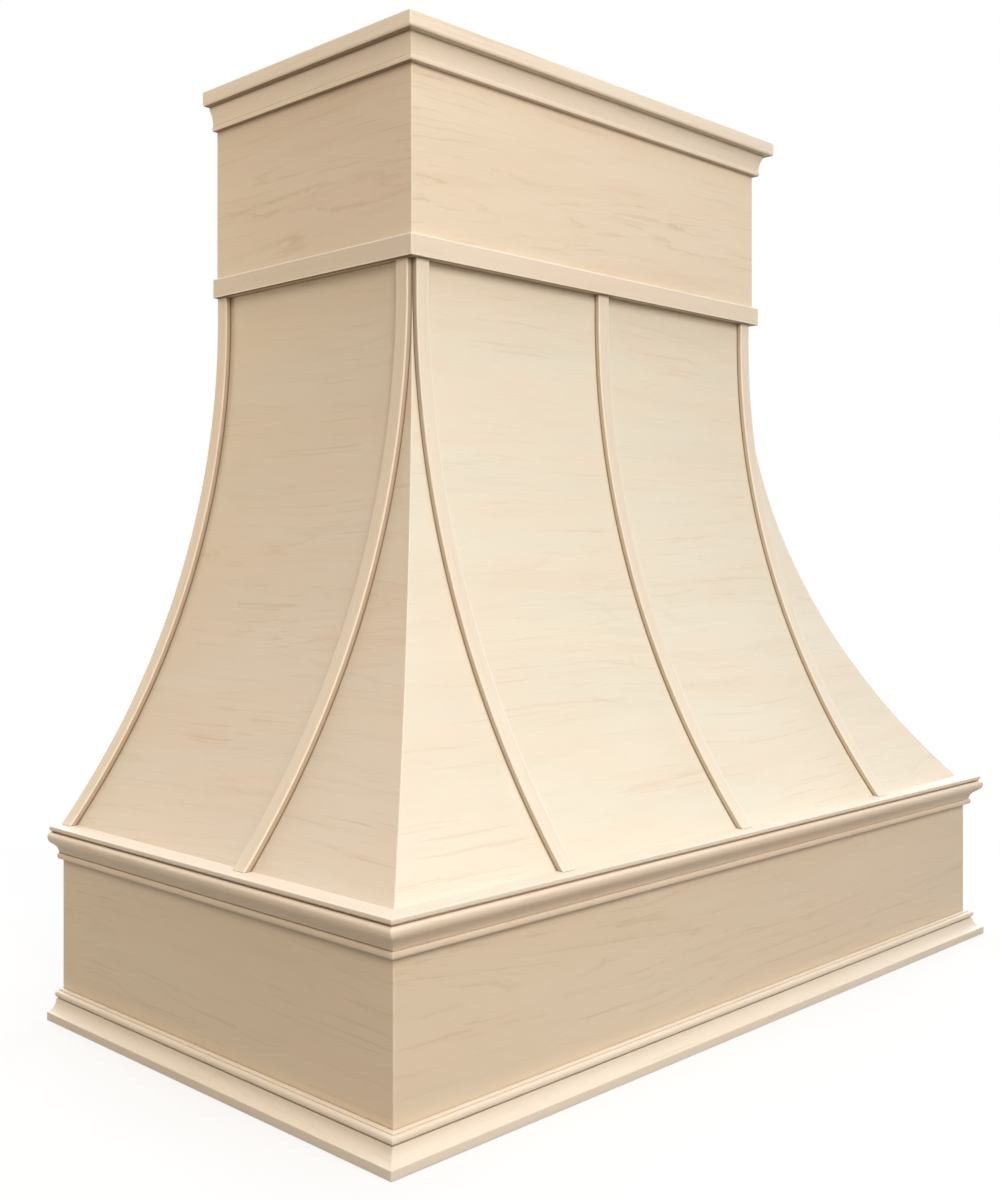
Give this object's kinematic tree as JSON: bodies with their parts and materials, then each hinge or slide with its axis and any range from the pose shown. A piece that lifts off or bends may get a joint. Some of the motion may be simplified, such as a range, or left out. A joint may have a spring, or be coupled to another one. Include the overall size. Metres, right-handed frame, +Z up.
{
  "type": "range hood cover",
  "caption": "Wall-hung wooden range hood cover with a crowned chimney box, a flared body with curved straps, and a moulded apron, open inside for duct and liner.",
  "frame": {"origin": "middle of the footprint, on the plane of the base moulding's underside", "axes": "+Z up, +Y towards the wall it hangs on, -Y towards the room, +X to the viewer's right when facing the front"},
  "size_m": [0.9494, 0.5128, 0.955],
  "materials": {
    "maple_panel": "smooth sanded maple veneer, satin, fine horizontal grain",
    "maple_trim": "smooth sanded solid maple, satin, grain along each length",
    "frame_wood": "plain sawn plywood and softwood, unfinished"
  },
  "bodies": {
    "root": {"apron_block_left": "frame_wood", "apron_block_right": "frame_wood", "apron_moulding_front": "maple_trim", "apron_moulding_left": "maple_trim", "apron_moulding_right": "maple_trim", "apron_panel_front": "maple_panel", "apron_panel_left": "maple_panel", "apron_panel_right": "maple_panel", "base_moulding_front": "maple_trim", "base_moulding_left": "maple_trim", "base_moulding_right": "maple_trim", "belt_front": "maple_trim", "belt_left": "maple_trim", "belt_right": "maple_trim", "body_skin_front": "maple_panel", "body_skin_left": "maple_panel", "body_skin_right": "maple_panel", "chimney_block_left": "frame_wood", "chimney_block_right": "frame_wood", "chimney_panel_front": "maple_panel", "chimney_panel_left": "maple_panel", "chimney_panel_right": "maple_panel", "crown_front": "maple_trim", "crown_left": "maple_trim", "crown_right": "maple_trim", "deck_rail_front": "frame_wood", "deck_rail_left": "frame_wood", "deck_rail_right": "frame_wood", "hip_rib_left": "frame_wood", "hip_rib_right": "frame_wood", "ledge_front": "maple_trim", "ledge_left": "maple_trim", "ledge_right": "maple_trim", "liner_cleat_front": "frame_wood", "liner_cleat_left": "frame_wood", "liner_cleat_right": "frame_wood", "mid_rail_front": "frame_wood", "mid_rail_left": "frame_wood", "mid_rail_right": "frame_wood", "mid_rail_wall": "frame_wood", "rib_front_centre": "frame_wood", "rib_front_left": "frame_wood", "rib_front_right": "frame_wood", "rib_left_middle": "frame_wood", "rib_left_wall": "frame_wood", "rib_right_middle": "frame_wood", "rib_right_wall": "frame_wood", "strap_front_centre": "maple_trim", "strap_front_left": "maple_trim", "strap_front_right": "maple_trim", "strap_left_near": "maple_trim", "strap_left_wall": "maple_trim", "strap_right_near": "maple_trim", "strap_right_wall": "maple_trim", "top_rail_front": "frame_wood", "top_rail_left": "frame_wood", "top_rail_right": "frame_wood", "top_rail_wall": "frame_wood", "wall_rail": "frame_wood"}
  },
  "joints": []
}
